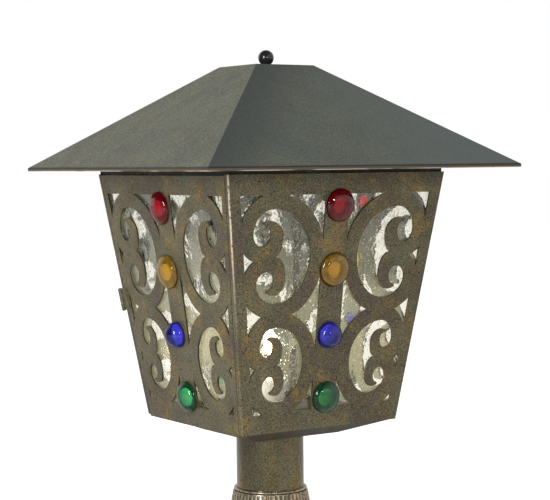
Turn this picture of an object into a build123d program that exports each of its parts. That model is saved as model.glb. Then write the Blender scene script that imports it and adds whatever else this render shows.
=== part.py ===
from build123d import *
from build123d.topology import SkipClean
import math
import os

# Post top lantern: hipped roof, four pierced and glazed panels with one hung as a door,
# a hopper-shaped pan and a socket for a round post. Millimetres, +Z up, origin on the axis
# of the post socket at its mouth. The front is -Y, and the door is the left side, -X.

os.makedirs("parts", exist_ok=True)

# ------------------------------------------------------------------ driving dimensions

# Post socket: the collar at the mouth and the fitter tube above it
post_diameter = 76.2
post_clearance = 1.1  # each side of the post
tube_wall = 2.1
tube_showing = 68.0  # tube between the collar and the pan
collar_height = 34.0
collar_seat = 10.0  # depth that the tube stands in the collar
collar_seat_clearance = 0.05
collar_bead_radius = 45.0
collar_bead_height = 3.0
collar_groove_radius = 43.2
collar_groove_height = 0.8
collar_neck_radius = 45.6  # top of the fluted skirt
collar_foot_radius = 51.0
collar_foot_band = 4.0
flute_count = 52
flute_radius = 2.4
flute_depth = 1.2
flute_head_gap = 0.7  # plain metal above the flutes
set_screw_count = 2
set_screw_radius = 2.5
set_screw_above_collar = 11.3
set_screw_turn = 180.0  # the first one faces the left
set_screw_proud = 0.5
set_screw_socket = 2.5  # across the flats
set_screw_post_gap = 0.2  # from the bore, so that the bore stays clear
thread_clearance = 0.05

# Body: the frustum that the four panels make
body_top_side = 305.0
body_bottom_side = 219.6
body_height = 298.5
panel_sheet = 2.5
bend_radius = 3.0
return_width = 6.0  # folded edges beside the door
door_side_gap = 1.0
door_head_gap = 1.2
door_drop = 2.0  # the door hangs this much below its neighbours
door_stop_gap = 0.3  # between the door's back and what it shuts against

# Piercing: a bar down the middle and two scrolls each side of it
window_head = 24.0
window_foot = 23.0
window_side = 15.2
bar_width = 33.0
ring_width = 18.5
scroll_to_bar = 16.5
scroll_to_side = 30.0
scroll_to_head = 16.0
scroll_to_foot = 13.5
scroll_spacing = 28.0
upper_scroll_share = 0.553  # of the height that the two scrolls share
least_window_area = 20.0

# Jewels: glass domes over holes in the bar
jewel_end_distance = 37.5  # first and last jewel from the panel's ends
jewel_hole = 17.0
jewel_rim = 1.5
jewel_sizes = {"red": (39.0, 10.5), "amber": (40.6, 11.5), "blue": (31.5, 17.0), "green": (37.5, 13.0)}
# They are set by hand, so on these two sides each sits a little to the side and down
jewel_strays = {
    "front": {"red": (1.8, -0.6), "amber": (0.8, -0.8), "blue": (-0.7, 0.6), "green": (1.6, 0.1)},
    "door": {"red": (-4.6, 2.2), "amber": (-6.4, 2.8), "blue": (-4.4, 3.0), "green": (0.0, 2.8)},
}

# Glass and its clips
glass_thickness = 3.0
glass_end_lap = 6.0
glass_side_lap = 4.7
clip_sheet = 1.0
clip_width = 12.0
clip_foot = 7.0
clip_lip = 5.0
clip_edge_gap = 0.3
clip_inset = 60.0  # from the panel's side edge

# Corner angles, neck and pan
angle_leg = 7.0
angle_sheet = 2.0
magnet_radius = 2.0
magnet_pitch = 120.0
neck_sheet = 2.0
neck_lap = 9.0
neck_collar = 1.5  # leaning part that shows above the panels
pan_sheet = 2.0
pan_lap = 9.0
pan_drop = 18.0
pan_floor_side = 120.0
wire_hole = 40.0

# Roof and finial
roof_gap = 4.5  # from the panels to the hem
roof_side = 434.0
roof_flat = 82.5
roof_height = 125.0
roof_hem = 4.0
roof_sheet = 2.0
cap_thickness = 3.0
ball_diameter = 19.2
ball_neck_radius = 5.0
ball_neck_height = 1.2
ball_sunk = 0.7  # the ball meets its neck this far up
rod_radius = 3.0
rod_hole_clearance = 0.3
rod_in_ball = 8.0
rod_below_bar = 9.0
cross_bar_width = 25.0
cross_bar_thickness = 4.0
cross_bar_above_body = 8.0
nut_across_flats = 10.0
nut_height = 5.0

# Hinge, on the rear left corner
hinge_height = 27.0
hinge_above_foot = 142.5  # its middle above the body's foot
hinge_leaf_width = 12.0
hinge_leaf_sheet = 1.2
hinge_knuckle_radius = 2.6
hinge_axis_offset = 1.6  # from both faces that the leaves lie on
hinge_pin_radius = 1.25
hinge_pin_clearance = 0.05
hinge_knuckle_gap = 0.3
hinge_leaf_clearance = 0.4
hinge_pin_head_height = 0.8
hinge_pin_head_radius = 2.1
hinge_relief = 0.3  # under the door's leaf, where it passes the folded edge

# Lamp holder and lamp
bracket_length = 84.0
bracket_foot = 16.0
bracket_width = 22.0
bracket_height = 14.0
bracket_sheet = 2.5
bracket_screw_radius = 2.0
bracket_screw_head_radius = 3.6
bracket_screw_head = 2.4
nipple_radius = 4.9
nipple_wall = 1.4
nipple_below = 8.0
nipple_above = 8.0
locknut_across_flats = 17.0
locknut_height = 3.5
holder_radius = 19.0
holder_height = 50.0
holder_floor = 15.0
shell_radius = 14.4
shell_wall = 0.6
shell_height = 27.0
base_radius = 13.2
base_height = 23.5
contact_radius = 4.0
contact_height = 5.5
bulb_neck_radius = 13.0
bulb_neck_height = 13.0
bulb_radius = 30.0
bulb_shoulder_height = 50.0  # from the base to the widest ring
bulb_wall = 1.0
capsule_radius = 7.5  # lit capsule in the middle of the bulb
capsule_length = 32.0
capsule_stem_radius = 2.2

# ------------------------------------------------------------------ worked-out levels and slopes

bore_radius = post_diameter / 2 + post_clearance
tube_radius = bore_radius + tube_wall
tube_foot = collar_height - collar_seat
pan_foot = collar_height + tube_showing
pan_floor = pan_foot + pan_sheet
body_foot = pan_foot + pan_drop
body_head = body_foot + body_height
roof_foot = body_head + roof_gap
roof_head = roof_foot + roof_height
hem_head = roof_foot + roof_hem

lean = (body_top_side - body_bottom_side) / 2 / body_height
tilt = math.atan(lean)
slant_height = body_height / math.cos(tilt)
face_taper = (body_top_side - body_bottom_side) / 2 / slant_height
roof_pitch = (roof_head - hem_head) / ((roof_side - roof_flat) / 2)

# Turn about the vertical axis that takes the front, -Y, to each side
turns = {"front": 0, "right": 90, "back": 180, "door": 270}
ellipse_handle = 4 / 3 * (math.sqrt(2) - 1)
standing = (Align.CENTER, Align.CENTER, Align.MIN)


def half_side(z):
    """Half the body's outer width at a height."""
    return body_bottom_side / 2 + (z - body_foot) * lean


def face_half(down):
    """Half the width of a panel's outer face, measured down its slope from the head."""
    return body_top_side / 2 - down * face_taper


def wall(side, depth, z):
    """Coordinate of a leaning wall: side -1 or +1, depth in from the body's outer face."""
    return side * (half_side(z) - depth / math.cos(tilt))


def rectangle_at(z, x_low, x_high, y_low, y_high):
    """Corners of a level rectangle."""
    return [(x_low, y_low, z), (x_high, y_low, z), (x_high, y_high, z), (x_low, y_high, z)]


def square_at(z, half):
    """Corners of a level square about the lantern's axis."""
    return rectangle_at(z, -half, half, -half, half)


def leaning_rectangle(z, walls):
    """Corners of a level rectangle between leaning walls, two across x and two across y."""
    places = [wall(side, depth, z) for side, depth in walls]
    return rectangle_at(z, *sorted(places[:2]), *sorted(places[2:]))


def block_between(lower, upper):
    """Six-sided solid with flat sides between two level outlines of four corners each."""
    outlines = [lower, upper]
    for a, b, c, d in zip(lower, lower[1:] + lower[:1], upper[1:] + upper[:1], upper):
        outlines.append([a, b, c, d])
    return Solid(Shell([Face(Wire.make_polygon(outline)) for outline in outlines]))


def leaning_block(z_low, z_high, *walls):
    """Block between two heights, bounded by leaning walls given as (side, depth)."""
    return block_between(leaning_rectangle(z_low, walls), leaning_rectangle(z_high, walls))


def disc(radius, z_low, z_high):
    """Cylinder on the lantern's axis between two heights."""
    return Pos(0, 0, z_low) * Cylinder(radius, z_high - z_low, align=standing)


def hex_nut(across_flats, height, hole_radius, z_low):
    """Hexagon nut on the lantern's axis."""
    blank = extrude(RegularPolygon(across_flats / 2, 6, major_radius=False), amount=height)
    return Pos(0, 0, z_low) * blank - disc(hole_radius, z_low - 1, z_low + height + 1)


def quarter(start, end, level_start):
    """Quarter ellipse that leaves its start level and ends upright, or the other way round."""
    across = end[0] - start[0]
    along = end[1] - start[1]
    if level_start:
        first = (start[0] + ellipse_handle * across, start[1])
        second = (end[0], end[1] - ellipse_handle * along)
    else:
        first = (start[0], start[1] + ellipse_handle * along)
        second = (end[0] - ellipse_handle * across, end[1])
    return Bezier(start, first, second, end)


# ------------------------------------------------------------------ piercing of a panel

# Outer face of the front panel: x along it, y up its slope from the head, z out of it
face_plane = Plane(
    origin=(0, -body_top_side / 2, body_head),
    x_dir=(1, 0, 0),
    z_dir=(0, -math.cos(tilt), -math.sin(tilt)),
)

# One scroll opening as shares of its field, across from the bar towards the side, and down.
# The outline runs from one point to the next in quarter ellipses, in turn level and upright.
scroll_shares = {
    "notch_lower_side": (0.62, 0.504),
    "lower_bulge": (0.455, 0.735),
    "lower_curl_underside": (0.67, 0.91),
    "lower_curl_tip": (0.82, 0.88),
    "lower_curl_top": (0.79, 0.855),
    "lower_eye_inside": (0.675, 0.755),
    "lower_eye_head": (0.80, 0.657),
    "lower_outermost": (1.00, 0.782),
    "foot": (0.62, 1.00),
    "innermost": (0.00, 0.513),
    "head": (0.655, 0.00),
    "upper_outermost": (1.00, 0.253),
    "upper_eye_foot": (0.855, 0.391),
    "upper_eye_inside": (0.705, 0.274),
    "upper_curl_underside": (0.795, 0.172),
    "upper_curl_tip": (0.815, 0.15),
    "upper_curl_top": (0.72, 0.12),
    "upper_bulge": (0.495, 0.295),
    "notch_upper_side": (0.62, 0.492),
}


def scroll_points(head, height):
    """Points of one scroll on the panel's face, for a field that starts head below its top edge."""
    points = {}
    inner = bar_width / 2 + scroll_to_bar
    for name, (across, down) in scroll_shares.items():
        slope_distance = head + down * height
        outer = face_half(slope_distance) - scroll_to_side
        points[name] = (inner + across * (outer - inner), -slope_distance)
    return points


def scroll_opening(points):
    """The pierced scroll: an oval with a curl of metal standing in it."""
    places = list(points.values())
    edges = [quarter(a, b, n % 2 == 0) for n, (a, b) in enumerate(zip(places, places[1:]))]
    edges.append(Line(places[-1], places[0]))
    return make_face(edges)


def scroll_ring(points):
    """The band of metal round a scroll: the scroll's outer points pushed out by the ring's width."""
    pushes = {
        "head": (0, 1),
        "upper_outermost": (1, 0),
        "upper_eye_foot": (0, -1),
        "lower_eye_head": (0, 1),
        "lower_outermost": (1, 0),
        "foot": (0, -1),
        "innermost": (-1, 0),
    }
    out = {}
    for name, (right, up) in pushes.items():
        x, y = points[name]
        out[name] = (x + right * ring_width, y + up * ring_width)
    inside = (out["head"][0], out["upper_eye_foot"][1])
    upper_lobe = make_face(
        [
            quarter(out["head"], out["upper_outermost"], True),
            quarter(out["upper_outermost"], out["upper_eye_foot"], False),
            Line(out["upper_eye_foot"], inside),
            Line(inside, out["head"]),
        ]
    )
    rest = make_face(
        [
            quarter(out["lower_eye_head"], out["lower_outermost"], True),
            quarter(out["lower_outermost"], out["foot"], False),
            quarter(out["foot"], out["innermost"], True),
            quarter(out["innermost"], out["head"], False),
            Line(out["head"], out["lower_eye_head"]),
        ]
    )
    return upper_lobe + rest


def face_trapezoid(head, foot, inset):
    """Part of a panel's face between two distances down it, inset from its side edges."""
    return make_face(
        Polyline(
            (-face_half(head) + inset, -head),
            (face_half(head) - inset, -head),
            (face_half(foot) - inset, -foot),
            (-face_half(foot) + inset, -foot),
            close=True,
        )
    )


def both_sides(shape):
    """A shape and its mirror image across the panel's middle."""
    return [shape, mirror(shape, about=Plane.YZ)]


def jewel_distances():
    """Distance of each jewel down the panel's face, by colour."""
    pitch = (slant_height - 2 * jewel_end_distance) / (len(jewel_sizes) - 1)
    return {colour: jewel_end_distance + n * pitch for n, colour in enumerate(jewel_sizes)}


def panel_openings():
    """Everything that is cut out of a panel, as flat faces."""
    upper_head = window_head + scroll_to_head
    scrolls_foot = slant_height - window_foot - scroll_to_foot
    shared_height = scrolls_foot - upper_head - scroll_spacing
    upper_height = shared_height * upper_scroll_share
    lower_height = shared_height - upper_height
    lower_head = scrolls_foot - lower_height
    upper = scroll_points(upper_head, upper_height)
    lower = scroll_points(lower_head, lower_height)
    spandrels = face_trapezoid(window_head, slant_height - window_foot, window_side)
    spandrels -= Rectangle(bar_width, 3 * slant_height)
    spandrels -= both_sides(scroll_ring(upper)) + both_sides(scroll_ring(lower))
    openings = [piece for piece in spandrels.faces() if piece.area > least_window_area]
    openings += both_sides(scroll_opening(upper)) + both_sides(scroll_opening(lower))
    for distance in jewel_distances().values():
        openings.append(Pos(0, -distance) * Circle(jewel_hole / 2))
    return openings


opening_cutters = [
    extrude(face_plane * opening, amount=2 * panel_sheet, both=True) for opening in panel_openings()
]

# ------------------------------------------------------------------ panels, drawn as the front

parts = {}


def pierced(panel):
    """A panel with its openings, made as two halves that meet along its middle line."""
    halves = []
    for side in (-1, 1):
        half_box = Box(body_top_side, 2 * body_top_side, 3 * body_head)
        half_panel = panel & (Pos(side * body_top_side / 2, 0, 0) * half_box)
        halves.append((half_panel - opening_cutters).solid())
    with SkipClean():  # keeps the line where the halves meet
        return halves[0] + halves[1]


def plate(head, foot, left_depth, right_depth):
    """Plain panel sheet whose ends stop at a depth in from the neighbours' outer faces."""
    return leaning_block(foot, head, (-1, left_depth), (1, right_depth), (-1, 0), (-1, panel_sheet))


def folded_panel(return_side):
    """Panel that covers its neighbour's edge at one end and has a folded edge at the door's end."""
    flat = plate(body_head, body_foot, 0, 0)
    edge_walls = [(return_side, 0), (return_side, panel_sheet)]
    folded = leaning_block(body_foot, body_head, *edge_walls, (-1, 0), (-1, return_width))
    panel = flat + folded
    middle = body_foot + body_height / 2
    corner = Vector(wall(return_side, 0, middle), wall(-1, 0, middle), middle)
    bend = panel.edges().sort_by_distance(corner)[0]
    return pierced(fillet(bend, bend_radius))


parts["front_panel"] = folded_panel(-1)
parts["back_panel"] = Rot(0, 0, turns["back"]) * folded_panel(1)
parts["right_panel"] = Rot(0, 0, turns["right"]) * pierced(
    plate(body_head, body_foot, panel_sheet, panel_sheet)
)
door_end = return_width + door_side_gap
parts["door_panel"] = Rot(0, 0, turns["door"]) * pierced(
    plate(body_head - door_head_gap, body_foot - door_drop, door_end, door_end)
)

# ------------------------------------------------------------------ glass, clips and jewels

glass_head = window_head - glass_end_lap
glass_foot = slant_height - window_foot + glass_end_lap
glass_outline = face_trapezoid(glass_head, glass_foot, window_side - glass_side_lap)
back_plane = face_plane.offset(-panel_sheet)
glass = extrude(back_plane * glass_outline, amount=-glass_thickness)


def glass_clip(across, edge, outward):
    """Z-shaped clip: a foot on the panel's back and a lip over the glass's edge."""
    root = clip_edge_gap
    end = clip_edge_gap + clip_foot
    lip_face = -glass_thickness
    profile = make_face(
        Polyline(
            (root, 0),
            (end, 0),
            (end, -clip_sheet),
            (root + clip_sheet, -clip_sheet),
            (root + clip_sheet, lip_face - clip_sheet),
            (-clip_lip, lip_face - clip_sheet),
            (-clip_lip, lip_face),
            (root, lip_face),
            close=True,
        )
    )
    section = Plane(origin=(across, -edge, 0), x_dir=(0, outward, 0), z_dir=(outward, 0, 0))
    solid = extrude(section * profile, amount=clip_width / 2, both=True)
    return back_plane * solid


clips = []
for edge, outward in [(glass_head, 1), (glass_foot, -1)]:
    spread = face_half(edge) - clip_inset
    clips += [glass_clip(-spread, edge, outward), glass_clip(spread, edge, outward)]
glass_clips = Compound(children=clips)


def jewel(side, colour):
    """Domed glass jewel with a short upright rim, glued over its hole in the bar."""
    diameter, dome = jewel_sizes[colour]
    across, down = jewel_strays.get(side, {}).get(colour, (0, 0))
    radius = diameter / 2
    top = (0, dome)
    shoulder = (radius, jewel_rim)
    rim = [Line((0, 0), (radius, 0)), Line((radius, 0), shoulder)]
    profile = make_face(rim + [quarter(shoulder, top, False), Line(top, (0, 0))])
    dome_solid = revolve(Plane.XZ * profile, axis=Axis.Z)
    return face_plane * Pos(across, -jewel_distances()[colour] - down, 0) * dome_solid


for side, turn in turns.items():
    parts[side + "_glass"] = Rot(0, 0, turn) * glass
    parts[side + "_glass_clips"] = Rot(0, 0, turn) * glass_clips
    for colour in jewel_sizes:
        parts[side + "_jewel_" + colour] = Rot(0, 0, turn) * jewel(side, colour)

# ------------------------------------------------------------------ frame inside the panels

# Depth of the frame behind the panels: it touches the fixed ones and clears the door
frame_depth = {"right": panel_sheet, "front": panel_sheet, "back": panel_sheet}
frame_depth["left"] = panel_sheet + door_stop_gap


def frame_walls(inset):
    """The four walls that the frame's pieces reach out to, moved in by an inset."""
    return [
        (-1, frame_depth["left"] + inset),
        (1, frame_depth["right"] + inset),
        (-1, frame_depth["front"] + inset),
        (1, frame_depth["back"] + inset),
    ]


def corner_angle(x_side, y_side):
    """L-shaped angle that stands in a corner of the body between the pan and the neck."""
    x_start = frame_depth["left" if x_side < 0 else "right"]
    y_start = panel_sheet

    def block(from_depth):
        x_walls = [(x_side, x_start + from_depth), (x_side, x_start + angle_leg)]
        y_walls = [(y_side, y_start + from_depth), (y_side, y_start + angle_leg)]
        return leaning_block(body_foot + pan_lap, body_head - neck_lap, *x_walls, *y_walls)

    return block(0) - block(angle_sheet)


for name, x_side, y_side in [
    ("front_left", -1, -1),
    ("front_right", 1, -1),
    ("back_left", -1, 1),
    ("back_right", 1, 1),
]:
    parts["corner_angle_" + name] = corner_angle(x_side, y_side)

# Magnets let into the front left angle pull on the steel door's free edge
magnet_across = (panel_sheet + (angle_sheet + angle_leg) / 2) / math.cos(tilt)
magnet_plane = face_plane.offset(-frame_depth["left"])
magnets = []
for step in (-0.5, 0.5):
    distance = slant_height / 2 + step * magnet_pitch
    spot = Pos(face_half(distance) - magnet_across, -distance) * Circle(magnet_radius)
    magnets.append(Rot(0, 0, turns["door"]) * extrude(magnet_plane * spot, amount=-angle_sheet))
parts["catch_magnets"] = Compound(children=magnets)
for magnet in magnets:
    parts["corner_angle_front_left"] -= magnet

# ------------------------------------------------------------------ roof


def roof_half(z):
    """Half the roof's outer width at a height on its slopes."""
    return roof_side / 2 - (z - hem_head) / roof_pitch


def prism_of_squares(z_low, half_low, z_high, half_high):
    """Solid between two level squares."""
    return block_between(square_at(z_low, half_low), square_at(z_high, half_high))


cap_foot = roof_head - cap_thickness
sheet_drop = roof_sheet * math.sqrt(1 + roof_pitch**2)  # the slope's sheet measured upright
roof_inner_half = roof_side / 2 - roof_sheet
inner_bend = hem_head - sheet_drop + roof_sheet * roof_pitch
roof_block = prism_of_squares(roof_foot, roof_side / 2, hem_head, roof_side / 2)
roof_block += prism_of_squares(hem_head, roof_side / 2, cap_foot, roof_half(cap_foot))
roof_space = prism_of_squares(roof_foot, roof_inner_half, inner_bend, roof_inner_half)
roof_space += prism_of_squares(inner_bend, roof_inner_half, cap_foot, roof_half(cap_foot + sheet_drop))
parts["roof_shell"] = roof_block - roof_space

rod_hole = disc(rod_radius + rod_hole_clearance, body_head, roof_head + 1)
cap = prism_of_squares(cap_foot, roof_half(cap_foot), roof_head, roof_flat / 2)
parts["roof_cap"] = cap - rod_hole

# Neck: a leaning collar behind the panels' heads, upright above them, up to the roof's underside
neck_bend = body_head + neck_collar
neck_reach = roof_head - neck_bend


def neck_block(inset, overrun):
    """The neck's outline moved in by an inset, as a solid block."""
    collar = leaning_block(body_head - neck_lap - overrun, neck_bend, *frame_walls(inset))
    bend_outline = Face(Wire.make_polygon(leaning_rectangle(neck_bend, frame_walls(inset))))
    return collar + extrude(bend_outline, amount=neck_reach, dir=(0, 0, 1))


neck = neck_block(0, 0) - neck_block(neck_sheet, 1)
above_hem = prism_of_squares(body_foot, roof_inner_half, roof_foot, roof_inner_half) + roof_space
parts["neck_frame"] = neck & above_hem

bar_foot = body_head + cross_bar_above_body
bar_head = bar_foot + cross_bar_thickness
bar_reach = wall(1, panel_sheet + neck_sheet, neck_bend)
cross_bar = Pos(0, 0, bar_foot) * Box(cross_bar_width, 2 * bar_reach, cross_bar_thickness, align=standing)
parts["roof_cross_bar"] = cross_bar - rod_hole
parts["finial_rod"] = disc(rod_radius, bar_foot - rod_below_bar, roof_head + rod_in_ball)
thread_radius = rod_radius + thread_clearance
parts["finial_rod_nuts"] = Compound(
    children=[
        hex_nut(nut_across_flats, nut_height, thread_radius, bar_foot - nut_height),
        hex_nut(nut_across_flats, nut_height, thread_radius, bar_head),
    ]
)
ball_centre = roof_head + ball_neck_height - ball_sunk + ball_diameter / 2
ball = Pos(0, 0, ball_centre) * Sphere(ball_diameter / 2)
ball += disc(ball_neck_radius, roof_head, roof_head + ball_neck_height)
parts["finial_ball"] = ball - disc(thread_radius, roof_head - 1, roof_head + rod_in_ball)

# ------------------------------------------------------------------ pan, fitter tube and collar

pan_slope = math.atan2(pan_drop, wall(1, panel_sheet, body_foot) - pan_floor_side / 2)
pan_rise = pan_sheet / math.cos(pan_slope)  # the sloping sheet measured upright
pan_floor = pan_foot + pan_rise
pan_mouth = leaning_rectangle(body_foot, frame_walls(0))
pan_block = block_between(square_at(pan_foot, pan_floor_side / 2), pan_mouth)
pan_block += leaning_block(body_foot, body_foot + pan_lap, *frame_walls(0))
pan_inside = Pos(0, 0, pan_rise) * pan_block
pan_inside &= leaning_block(pan_foot, body_foot + 2 * pan_lap, *frame_walls(pan_sheet))
pan = pan_block - pan_inside - disc(wire_hole / 2, pan_foot - 1, pan_floor + 1)

bracket_screw_across = (bracket_length - bracket_foot + bracket_sheet) / 2
screw_places = [Pos(-bracket_screw_across, 0, 0), Pos(bracket_screw_across, 0, 0)]
screw_bore = disc(bracket_screw_radius + thread_clearance, pan_foot - 1, pan_floor + 2 * bracket_sheet)
for place in screw_places:
    pan -= place * screw_bore
parts["bottom_pan"] = pan

tube = disc(tube_radius, tube_foot, pan_foot) - disc(bore_radius, tube_foot, pan_foot)
screw_start = bore_radius + set_screw_post_gap
screw_length = tube_radius + set_screw_proud - screw_start
set_screws = []
for n in range(set_screw_count):
    toward = Rot(0, 0, set_screw_turn + n * 360 / set_screw_count)
    place = toward * Pos(screw_start, 0, collar_height + set_screw_above_collar) * Rot(0, 90, 0)
    shank = Cylinder(set_screw_radius, screw_length, align=standing)
    key = extrude(RegularPolygon(set_screw_socket / 2, 6, major_radius=False), amount=screw_length)
    set_screws.append(place * (shank - Pos(0, 0, screw_length / 3) * key))
    tapped = Cylinder(set_screw_radius + thread_clearance, 3 * tube_wall, align=standing)
    tube -= place * Pos(0, 0, -tube_wall) * tapped
parts["fitter_tube"] = tube
parts["set_screws"] = Compound(children=set_screws)

bead_foot = collar_height - collar_bead_height
skirt_head = bead_foot - collar_groove_height
seat_radius = tube_radius + collar_seat_clearance
collar_outline = [
    Polyline(
        (seat_radius, collar_height),
        (seat_radius, tube_foot),
        (bore_radius, tube_foot),
        (bore_radius, 0),
        (collar_foot_radius, 0),
        (collar_foot_radius, collar_foot_band),
        (collar_neck_radius, skirt_head),
        (collar_groove_radius, skirt_head),
        (collar_groove_radius, bead_foot),
    ),
    ThreePointArc(
        (collar_groove_radius, bead_foot),
        (collar_bead_radius, bead_foot + collar_bead_height / 2),
        (collar_groove_radius, collar_height),
    ),
    Line((collar_groove_radius, collar_height), (seat_radius, collar_height)),
]
collar = revolve(Plane.XZ * make_face(collar_outline), axis=Axis.Z)
skirt_run = collar_foot_radius - collar_neck_radius
skirt_rise = skirt_head - collar_foot_band
flute_line = Plane(
    origin=(collar_neck_radius + flute_radius - flute_depth, 0, skirt_head),
    z_dir=(-skirt_run, 0, skirt_rise),
)
flute = extrude(flute_line * Circle(flute_radius), amount=2 * skirt_rise, both=True)
flute &= disc(2 * collar_foot_radius, collar_foot_band, skirt_head - flute_head_gap)
for n in range(flute_count):
    collar -= Rot(0, 0, (n + 0.5) * 360 / flute_count) * flute
parts["post_collar"] = collar

# ------------------------------------------------------------------ hinge

along = Vector(-lean, lean, 1).normalized()  # up the rear left corner
door_normal = Vector(-math.cos(tilt), 0, -math.sin(tilt))
back_normal = Vector(0, math.cos(tilt), -math.sin(tilt))
hinge_level = body_foot + hinge_above_foot
hinge_middle = Vector(
    wall(-1, -hinge_axis_offset, hinge_level), wall(1, -hinge_axis_offset, hinge_level), hinge_level
)
# Each leaf's plane: x from the corner along its face, z up the axis, y out of the face or into it
door_leaf_plane = Plane(origin=hinge_middle, x_dir=along.cross(door_normal), z_dir=along)
frame_leaf_plane = Plane(origin=hinge_middle, x_dir=back_normal.cross(along), z_dir=along)
knuckle_length = (hinge_height - 2 * hinge_knuckle_gap) / 3
knuckle_step = knuckle_length + hinge_knuckle_gap


def hinge_leaf(outward, knuckle_steps):
    """One leaf with its knuckles; outward is the sense of y that points away from the face."""
    face_y = -outward * hinge_axis_offset
    middle_y = face_y + outward * hinge_leaf_sheet / 2
    leaf_start = hinge_knuckle_radius + hinge_leaf_clearance
    leaf_end = hinge_leaf_width + hinge_axis_offset
    leaf = Pos((leaf_start + leaf_end) / 2, middle_y, 0) * Box(
        leaf_end - leaf_start, hinge_leaf_sheet, hinge_height
    )
    for step in knuckle_steps:
        barrel = Pos(0, 0, step * knuckle_step) * Cylinder(hinge_knuckle_radius, knuckle_length)
        root = Pos(leaf_start / 2, middle_y, step * knuckle_step) * Box(
            leaf_start, hinge_leaf_sheet, knuckle_length
        )
        leaf += barrel + root
    return leaf - Cylinder(hinge_pin_radius + hinge_pin_clearance, 2 * hinge_height)


relief_end = hinge_axis_offset + return_width + door_side_gap
relief_middle = (hinge_knuckle_radius + relief_end) / 2
relief = Pos(relief_middle, hinge_axis_offset - hinge_relief / 2, 0) * Box(
    relief_end - hinge_knuckle_radius, hinge_relief, 2 * hinge_height
)
parts["hinge_door_leaf"] = door_leaf_plane * (hinge_leaf(-1, [0]) - relief)
parts["hinge_frame_leaf"] = frame_leaf_plane * hinge_leaf(1, [-1, 1])
pin = Cylinder(hinge_pin_radius, hinge_height)
for end in (-1, 1):
    head_middle = end * (hinge_height + hinge_pin_head_height) / 2
    pin += Pos(0, 0, head_middle) * Cylinder(hinge_pin_head_radius, hinge_pin_head_height)
parts["hinge_pin"] = door_leaf_plane * pin

# ------------------------------------------------------------------ lamp holder and lamp

half_length = bracket_length / 2
foot_start = half_length - bracket_foot
riser_end = foot_start + bracket_sheet
strap_profile = make_face(
    Polyline(
        (-half_length, 0),
        (-foot_start, 0),
        (-foot_start, bracket_height - bracket_sheet),
        (foot_start, bracket_height - bracket_sheet),
        (foot_start, 0),
        (half_length, 0),
        (half_length, bracket_sheet),
        (riser_end, bracket_sheet),
        (riser_end, bracket_height),
        (-riser_end, bracket_height),
        (-riser_end, bracket_sheet),
        (-half_length, bracket_sheet),
        close=True,
    )
)
bracket = Pos(0, 0, pan_floor) * extrude(Plane.XZ * strap_profile, amount=bracket_width / 2, both=True)
bracket_head = pan_floor + bracket_height
nipple_foot = bracket_head - bracket_sheet - nipple_below
bracket -= disc(nipple_radius + thread_clearance, nipple_foot, bracket_head + 1)
for place in screw_places:
    bracket -= place * screw_bore
parts["lamp_bracket"] = bracket
bracket_foot_head = pan_floor + bracket_sheet
screw = disc(bracket_screw_radius, pan_foot, bracket_foot_head)
screw += disc(bracket_screw_head_radius, bracket_foot_head, bracket_foot_head + bracket_screw_head)
parts["bracket_screws"] = Compound(children=[place * screw for place in screw_places])

nipple = disc(nipple_radius, nipple_foot, bracket_head + nipple_above)
parts["threaded_nipple"] = nipple - disc(nipple_radius - nipple_wall, pan_foot, bracket_head + holder_floor)
parts["nipple_locknut"] = hex_nut(
    locknut_across_flats,
    locknut_height,
    nipple_radius + thread_clearance,
    bracket_head - bracket_sheet - locknut_height,
)

holder_recess = bracket_head + holder_floor
holder = disc(holder_radius, bracket_head, bracket_head + holder_height)
holder -= disc(shell_radius + thread_clearance, holder_recess, bracket_head + holder_height + 1)
holder -= disc(nipple_radius + thread_clearance, bracket_head - 1, bracket_head + nipple_above)
parts["lamp_holder"] = holder
shell = disc(shell_radius, holder_recess, holder_recess + shell_height)
shell -= disc(shell_radius - shell_wall, holder_recess, holder_recess + shell_height)
parts["holder_screw_shell"] = shell

base_foot = holder_recess + contact_height
base_head = base_foot + base_height
bulb_base = disc(base_radius, base_foot, base_head)
parts["bulb_base"] = bulb_base + disc(contact_radius, holder_recess, base_foot)


def bulb_envelope(inset):
    """Bulb shape from its straight neck through a soft shoulder to a round crown."""
    neck_radius = bulb_neck_radius - inset
    belly_radius = bulb_radius - inset
    neck_head = base_head + bulb_neck_height
    belly = base_head + bulb_shoulder_height
    ease = (belly - neck_head) / 2
    outline = [
        Polyline((0, base_head), (neck_radius, base_head), (neck_radius, neck_head)),
        Bezier(
            (neck_radius, neck_head),
            (neck_radius, neck_head + ease),
            (belly_radius, belly - ease),
            (belly_radius, belly),
        ),
        quarter((belly_radius, belly), (0, belly + belly_radius), False),
        Line((0, belly + belly_radius), (0, base_head)),
    ]
    return revolve(Plane.XZ * make_face(outline), axis=Axis.Z)


parts["bulb_glass"] = bulb_envelope(0) - bulb_envelope(bulb_wall)

capsule_middle = base_head + bulb_shoulder_height
capsule_straight = capsule_length / 2 - capsule_radius
capsule = disc(capsule_radius, capsule_middle - capsule_straight, capsule_middle + capsule_straight)
for end in (-1, 1):
    capsule += Pos(0, 0, capsule_middle + end * capsule_straight) * Sphere(capsule_radius)
parts["bulb_capsule"] = capsule + disc(capsule_stem_radius, base_head, capsule_middle)

# ------------------------------------------------------------------ one file a piece

for name, shape in parts.items():
    export_step(shape, os.path.join("parts", name + ".step"))
    print(name, round(shape.volume, 1))
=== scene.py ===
import math

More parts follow.
